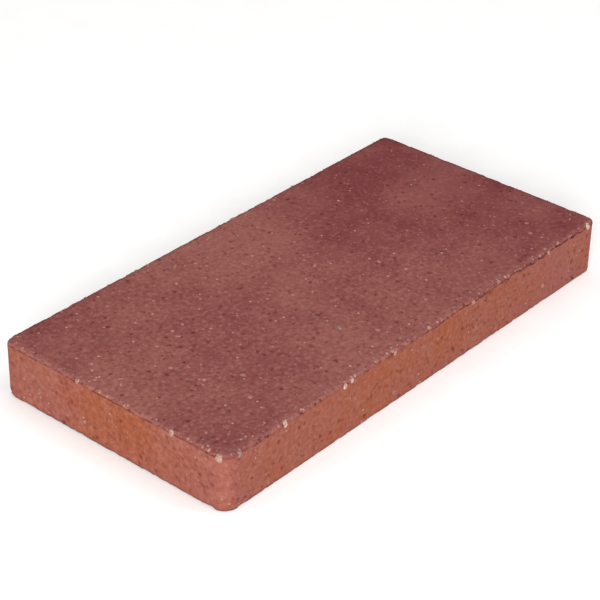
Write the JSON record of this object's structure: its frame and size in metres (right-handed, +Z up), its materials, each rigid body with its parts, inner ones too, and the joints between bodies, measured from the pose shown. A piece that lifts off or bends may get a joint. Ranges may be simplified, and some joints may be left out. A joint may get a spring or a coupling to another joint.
{
  "type": "concrete step stone",
  "caption": "Red pigmented concrete step stone: thick core course, thin rounded-edge wearing course and pale aggregate showing at the edges, laid flat as a path or patio paver.",
  "frame": {"origin": "centre of the bed face, on the surface that the stone lies on", "axes": "+X along the length, +Y across the width, +Z up out of the wearing face"},
  "size_m": [0.4, 0.198, 0.043],
  "materials": {
    "core_concrete": "matte",
    "face_concrete": "matte",
    "pale_quartz": "satin",
    "pink_grit": "matte",
    "grey_flint": "satin"
  },
  "bodies": {
    "root": {"base_course": "core_concrete", "face_course": "face_concrete", "back_edge_chip_1": "pale_quartz", "back_edge_chip_2": "pale_quartz", "back_edge_chip_3": "grey_flint", "back_edge_chip_4": "pale_quartz", "back_edge_chip_5": "pale_quartz", "back_edge_chip_6": "pale_quartz", "front_edge_chip_1": "grey_flint", "front_edge_chip_2": "pale_quartz", "front_edge_chip_3": "pale_quartz", "front_edge_chip_4": "pale_quartz", "front_edge_chip_5": "pale_quartz", "front_edge_chip_6": "pale_quartz", "front_edge_chip_7": "pale_quartz", "front_edge_chip_8": "pale_quartz", "front_side_chip_1": "pale_quartz", "front_side_chip_2": "pale_quartz", "left_edge_chip_1": "pale_quartz", "left_edge_chip_2": "pale_quartz", "left_edge_chip_3": "pale_quartz", "left_side_chip_1": "pale_quartz", "right_edge_chip_1": "pale_quartz", "right_edge_chip_2": "pale_quartz", "right_edge_chip_3": "pale_quartz", "top_chip_1": "pink_grit", "top_chip_10": "pink_grit", "top_chip_11": "pink_grit", "top_chip_12": "pink_grit", "top_chip_2": "pink_grit", "top_chip_3": "pink_grit", "top_chip_4": "pink_grit", "top_chip_5": "pink_grit", "top_chip_6": "grey_flint", "top_chip_7": "pink_grit", "top_chip_8": "pink_grit", "top_chip_9": "pink_grit"}
  },
  "joints": []
}
